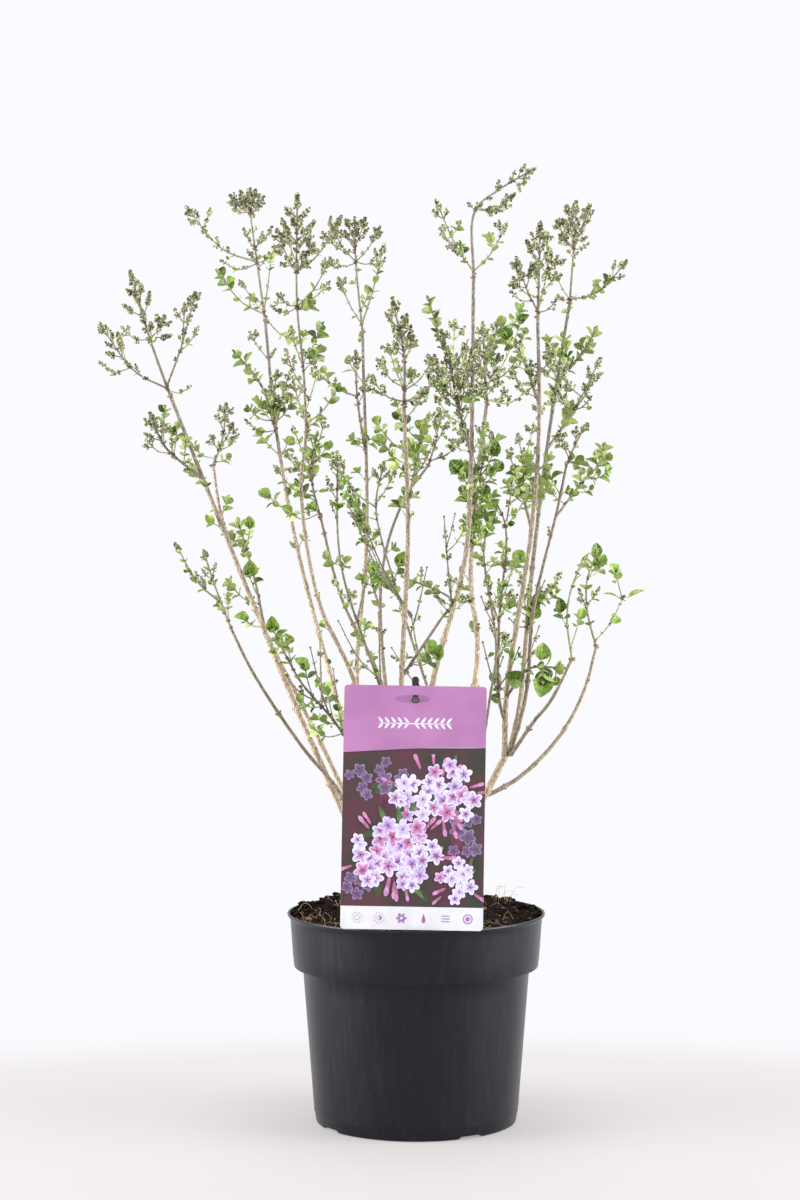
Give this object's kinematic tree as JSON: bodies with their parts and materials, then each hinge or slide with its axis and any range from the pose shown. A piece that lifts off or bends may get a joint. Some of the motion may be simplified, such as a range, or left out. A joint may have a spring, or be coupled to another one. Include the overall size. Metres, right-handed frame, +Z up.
{
  "type": "potted dwarf lilac bush",
  "caption": "Young upright flowering shrub with many thin stems, small leaves and bud heads, in a round nursery pot with soil and a picture label on a stake.",
  "frame": {"origin": "centre of the pot's flat underside, on the ground", "axes": "+Z up along the pot's axis; -Y towards the viewer, the side that the picture label faces; +X to the viewer's right"},
  "size_m": [0.4087, 0.3292, 0.7241],
  "materials": {
    "pot_plastic": "satin",
    "soil": "matte",
    "label_print": "satin",
    "stake_plastic": "satin",
    "bark": "matte",
    "leaf": "satin",
    "buds": "matte"
  },
  "bodies": {
    "root": {"pot": "pot_plastic", "soil": "soil", "label_board": "label_print", "label_stake": "stake_plastic", "root_crown": "bark", "stem_back": "bark", "stem_back_left": "bark", "stem_back_right": "bark", "stem_centre": "bark", "stem_far_left": "bark", "stem_front": "bark", "stem_left": "bark", "stem_left_back": "bark", "stem_left_front": "bark", "stem_left_inner": "bark", "stem_left_twin": "bark", "stem_right": "bark", "bough_far_right": "bark", "bough_right_back": "bark", "bough_right_front": "bark", "bough_right_low": "bark", "bough_right_middle": "bark", "mass_back_left_side": "leaf", "mass_back_left_top": "buds", "mass_back_right_side": "leaf", "mass_back_right_top": "buds", "mass_back_side": "leaf", "mass_back_thin": "leaf", "mass_back_top": "buds", "mass_centre_side": "leaf", "mass_centre_thin": "leaf", "mass_centre_top": "buds", "mass_far_left_top": "buds", "mass_far_right_top": "leaf", "mass_front_left_thin": "leaf", "mass_front_low": "leaf", "mass_front_side": "leaf", "mass_front_top": "buds", "mass_left_back_side": "leaf", "mass_left_back_top": "buds", "mass_left_front_top": "buds", "mass_left_inner_top": "leaf", "mass_left_side": "leaf", "mass_left_top": "buds", "mass_left_twin_side": "leaf", "mass_left_twin_top": "leaf", "mass_low_left": "leaf", "mass_right_back_lower": "leaf", "mass_right_back_side": "leaf", "mass_right_back_top": "buds", "mass_right_foot_leaves": "leaf", "mass_right_front_leafy": "leaf", "mass_right_front_side": "leaf", "mass_right_front_top": "buds", "mass_right_low_top": "leaf", "mass_right_middle_low": "leaf", "mass_right_middle_side": "leaf", "mass_right_middle_top": "buds", "mass_right_thin": "leaf"}
  },
  "joints": []
}
